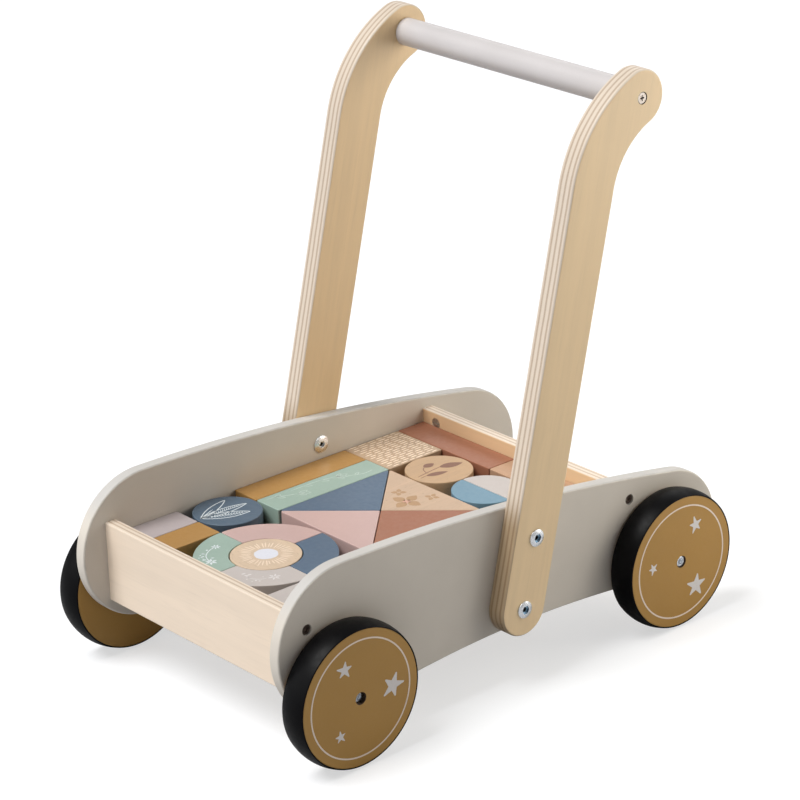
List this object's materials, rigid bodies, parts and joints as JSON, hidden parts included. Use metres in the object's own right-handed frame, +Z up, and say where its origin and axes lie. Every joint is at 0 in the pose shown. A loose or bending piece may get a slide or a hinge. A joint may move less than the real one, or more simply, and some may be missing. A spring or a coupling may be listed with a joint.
{
  "type": "baby walker",
  "caption": "Wooden push-along baby walker: low block tray on four rubber-tyred wheels, two leaning plywood arms and a round grip bar, filled with loose building blocks.",
  "frame": {"origin": "on the floor under the middle of the whole walker", "axes": "+X to the pushing child's left, -Y the way it rolls, +Z up"},
  "size_m": [0.2662, 0.404, 0.4151],
  "materials": {
    "painted_side_board": "warm grey matt paint on fibreboard",
    "birch_plywood": "clear-coated light plywood, ply lines on the edges",
    "painted_grip": "light grey satin paint on a dowel",
    "zinc_steel": "bright zinc-plated steel",
    "dark_steel": "dark zinc-plated steel",
    "ochre_paint": "ochre satin paint on fibreboard, printed ring and stars",
    "tyre_rubber": "black satin rubber",
    "bush_nylon": "natural nylon",
    "paint_mustard": "mustard satin paint",
    "paint_navy": "dusty navy satin paint",
    "paint_slate": "slate blue satin paint",
    "paint_mint": "mint satin paint",
    "paint_pink": "dusty pink satin paint",
    "paint_terracotta": "terracotta satin paint",
    "paint_blue": "light blue satin paint",
    "paint_grey": "light grey satin paint",
    "paint_lilac": "grey lilac satin paint",
    "beech": "natural clear-coated beech"
  },
  "bodies": {
    "root": {"side_panel_left": "painted_side_board", "side_panel_right": "painted_side_board", "front_panel": "birch_plywood", "rear_panel": "birch_plywood", "tray_floor": "birch_plywood", "handle_arm_left": "birch_plywood", "handle_arm_right": "birch_plywood", "handle_bar": "painted_grip", "handle_screws": "zinc_steel", "arm_bolts": "zinc_steel", "arm_sleeve_nuts": "zinc_steel", "panel_bolts": "dark_steel", "barrel_nuts": "zinc_steel", "axle_bolts": "zinc_steel", "axle_nuts": "zinc_steel", "axle_washers": "zinc_steel"},
    "wheel_front_left": {"wheel_front_left": "ochre_paint", "tyre_front_left": "tyre_rubber", "bush_front_left": "bush_nylon"},
    "wheel_front_right": {"wheel_front_right": "ochre_paint", "tyre_front_right": "tyre_rubber", "bush_front_right": "bush_nylon"},
    "wheel_rear_left": {"wheel_rear_left": "ochre_paint", "tyre_rear_left": "tyre_rubber", "bush_rear_left": "bush_nylon"},
    "wheel_rear_right": {"wheel_rear_right": "ochre_paint", "tyre_rear_right": "tyre_rubber", "bush_rear_right": "bush_nylon"},
    "block_lilac_corner": {"block_lilac_corner": "paint_lilac"},
    "block_mustard_short": {"block_mustard_short": "paint_mustard"},
    "block_navy_round": {"block_navy_round": "paint_navy"},
    "block_mustard_long": {"block_mustard_long": "paint_mustard"},
    "block_mint_long": {"block_mint_long": "paint_mint"},
    "block_slate_triangle": {"block_slate_triangle": "paint_slate"},
    "block_pink_triangle": {"block_pink_triangle": "paint_pink"},
    "block_terracotta_triangle": {"block_terracotta_triangle": "paint_terracotta"},
    "block_natural_triangle": {"block_natural_triangle": "beech"},
    "block_dash_square": {"block_dash_square": "beech"},
    "block_sprig_round": {"block_sprig_round": "beech"},
    "block_terracotta_long": {"block_terracotta_long": "paint_terracotta"},
    "block_natural_long": {"block_natural_long": "beech"},
    "block_half_blue": {"block_half_blue": "paint_blue"},
    "block_half_grey": {"block_half_grey": "paint_grey"},
    "block_arc_pink": {"block_arc_pink": "paint_pink"},
    "block_arc_slate": {"block_arc_slate": "paint_slate"},
    "block_arc_grey": {"block_arc_grey": "paint_grey"},
    "block_arc_mint": {"block_arc_mint": "paint_mint"},
    "block_sun_round": {"block_sun_round": "beech"},
    "block_grey_corner": {"block_grey_corner": "paint_grey"},
    "block_pink_short": {"block_pink_short": "paint_pink"},
    "block_mustard_round": {"block_mustard_round": "paint_mustard"},
    "block_slate_long": {"block_slate_long": "paint_slate"},
    "block_lilac_long": {"block_lilac_long": "paint_lilac"},
    "block_mint_square": {"block_mint_square": "paint_mint"}
  },
  "joints": [
    {"name": "wheel_front_left_spin", "type": "hinge", "parent": "root", "child": "wheel_front_left", "pos_m": [0.1228, -0.151, 0.051], "axis": [1, 0, 0], "continuous": true},
    {"name": "wheel_front_right_spin", "type": "hinge", "parent": "root", "child": "wheel_front_right", "pos_m": [-0.1228, -0.151, 0.051], "axis": [1, 0, 0], "continuous": true},
    {"name": "wheel_rear_left_spin", "type": "hinge", "parent": "root", "child": "wheel_rear_left", "pos_m": [0.1228, 0.145, 0.051], "axis": [1, 0, 0], "continuous": true},
    {"name": "wheel_rear_right_spin", "type": "hinge", "parent": "root", "child": "wheel_rear_right", "pos_m": [-0.1228, 0.145, 0.051], "axis": [1, 0, 0], "continuous": true},
    {"name": "block_lilac_corner_lift", "type": "slide", "parent": "root", "child": "block_lilac_corner", "axis": [0, 0, 1], "range_m": [0, 0.07]},
    {"name": "block_mustard_short_lift", "type": "slide", "parent": "root", "child": "block_mustard_short", "axis": [0, 0, 1], "range_m": [0, 0.07]},
    {"name": "block_navy_round_lift", "type": "slide", "parent": "root", "child": "block_navy_round", "axis": [0, 0, 1], "range_m": [0, 0.07]},
    {"name": "block_mustard_long_lift", "type": "slide", "parent": "root", "child": "block_mustard_long", "axis": [0, 0, 1], "range_m": [0, 0.004]},
    {"name": "block_mint_long_lift", "type": "slide", "parent": "root", "child": "block_mint_long", "axis": [0, 0, 1], "range_m": [0, 0.07]},
    {"name": "block_slate_triangle_lift", "type": "slide", "parent": "root", "child": "block_slate_triangle", "axis": [0, 0, 1], "range_m": [0, 0.07]},
    {"name": "block_pink_triangle_lift", "type": "slide", "parent": "root", "child": "block_pink_triangle", "axis": [0, 0, 1], "range_m": [0, 0.07]},
    {"name": "block_terracotta_triangle_lift", "type": "slide", "parent": "root", "child": "block_terracotta_triangle", "axis": [0, 0, 1], "range_m": [0, 0.07]},
    {"name": "block_natural_triangle_lift", "type": "slide", "parent": "root", "child": "block_natural_triangle", "axis": [0, 0, 1], "range_m": [0, 0.07]},
    {"name": "block_dash_square_lift", "type": "slide", "parent": "root", "child": "block_dash_square", "axis": [0, 0, 1], "range_m": [0, 0.07]},
    {"name": "block_sprig_round_lift", "type": "slide", "parent": "root", "child": "block_sprig_round", "axis": [0, 0, 1], "range_m": [0, 0.07]},
    {"name": "block_terracotta_long_lift", "type": "slide", "parent": "root", "child": "block_terracotta_long", "axis": [0, 0, 1], "range_m": [0, 0.07]},
    {"name": "block_natural_long_lift", "type": "slide", "parent": "root", "child": "block_natural_long", "axis": [0, 0, 1], "range_m": [0, 0.07]},
    {"name": "block_half_blue_lift", "type": "slide", "parent": "root", "child": "block_half_blue", "axis": [0, 0, 1], "range_m": [0, 0.07]},
    {"name": "block_half_grey_lift", "type": "slide", "parent": "root", "child": "block_half_grey", "axis": [0, 0, 1], "range_m": [0, 0.07]},
    {"name": "block_arc_pink_lift", "type": "slide", "parent": "root", "child": "block_arc_pink", "axis": [0, 0, 1], "range_m": [0, 0.07]},
    {"name": "block_arc_slate_lift", "type": "slide", "parent": "root", "child": "block_arc_slate", "axis": [0, 0, 1], "range_m": [0, 0.07]},
    {"name": "block_arc_grey_lift", "type": "slide", "parent": "root", "child": "block_arc_grey", "axis": [0, 0, 1], "range_m": [0, 0.07]},
    {"name": "block_arc_mint_lift", "type": "slide", "parent": "root", "child": "block_arc_mint", "axis": [0, 0, 1], "range_m": [0, 0.07]},
    {"name": "block_sun_round_lift", "type": "slide", "parent": "root", "child": "block_sun_round", "axis": [0, 0, 1], "range_m": [0, 0.07]},
    {"name": "block_grey_corner_lift", "type": "slide", "parent": "root", "child": "block_grey_corner", "axis": [0, 0, 1], "range_m": [0, 0.07]},
    {"name": "block_pink_short_lift", "type": "slide", "parent": "root", "child": "block_pink_short", "axis": [0, 0, 1], "range_m": [0, 0.07]},
    {"name": "block_mustard_round_lift", "type": "slide", "parent": "root", "child": "block_mustard_round", "axis": [0, 0, 1], "range_m": [0, 0.07]},
    {"name": "block_slate_long_lift", "type": "slide", "parent": "root", "child": "block_slate_long", "axis": [0, 0, 1], "range_m": [0, 0.07]},
    {"name": "block_lilac_long_lift", "type": "slide", "parent": "root", "child": "block_lilac_long", "axis": [0, 0, 1], "range_m": [0, 0.07]},
    {"name": "block_mint_square_lift", "type": "slide", "parent": "root", "child": "block_mint_square", "axis": [0, 0, 1], "range_m": [0, 0.07]}
  ]
}
